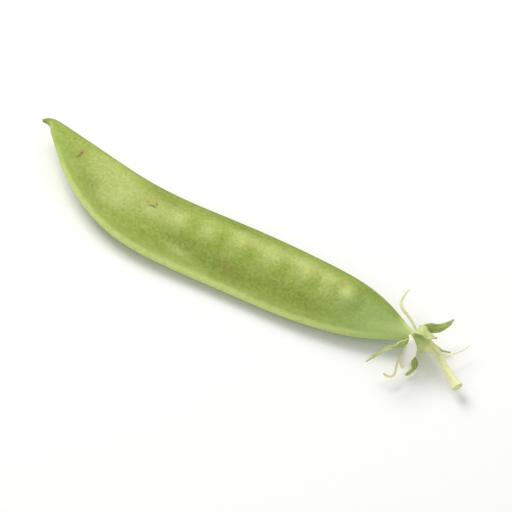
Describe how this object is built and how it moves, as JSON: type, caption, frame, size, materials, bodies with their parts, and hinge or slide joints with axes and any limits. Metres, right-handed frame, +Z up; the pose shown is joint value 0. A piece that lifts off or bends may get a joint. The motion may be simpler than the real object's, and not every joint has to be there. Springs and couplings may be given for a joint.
{
  "type": "snow pea",
  "caption": "Flat snow pea pod with low pea bumps, a beaked tip, a five-lobed calyx, dry stamens and a short stalk, lying on its side.",
  "frame": {"origin": "middle of the small flat spot on the pod's underside, on the surface that it lies on", "axes": "+X along the pod from its beak to its stalk, +Y towards the upper suture, +Z up out of the pod's flat side"},
  "size_m": [0.1056, 0.0226, 0.0085],
  "materials": {
    "pod_skin": "waxy satin plant skin",
    "calyx": "matt leaf",
    "stalk": "matt plant fibre",
    "dry_stamen": "dry papery"
  },
  "bodies": {
    "root": {"pod": "pod_skin", "calyx": "calyx", "stalk": "stalk", "stamen_sheath": "dry_stamen", "free_stamen": "dry_stamen"}
  },
  "joints": []
}
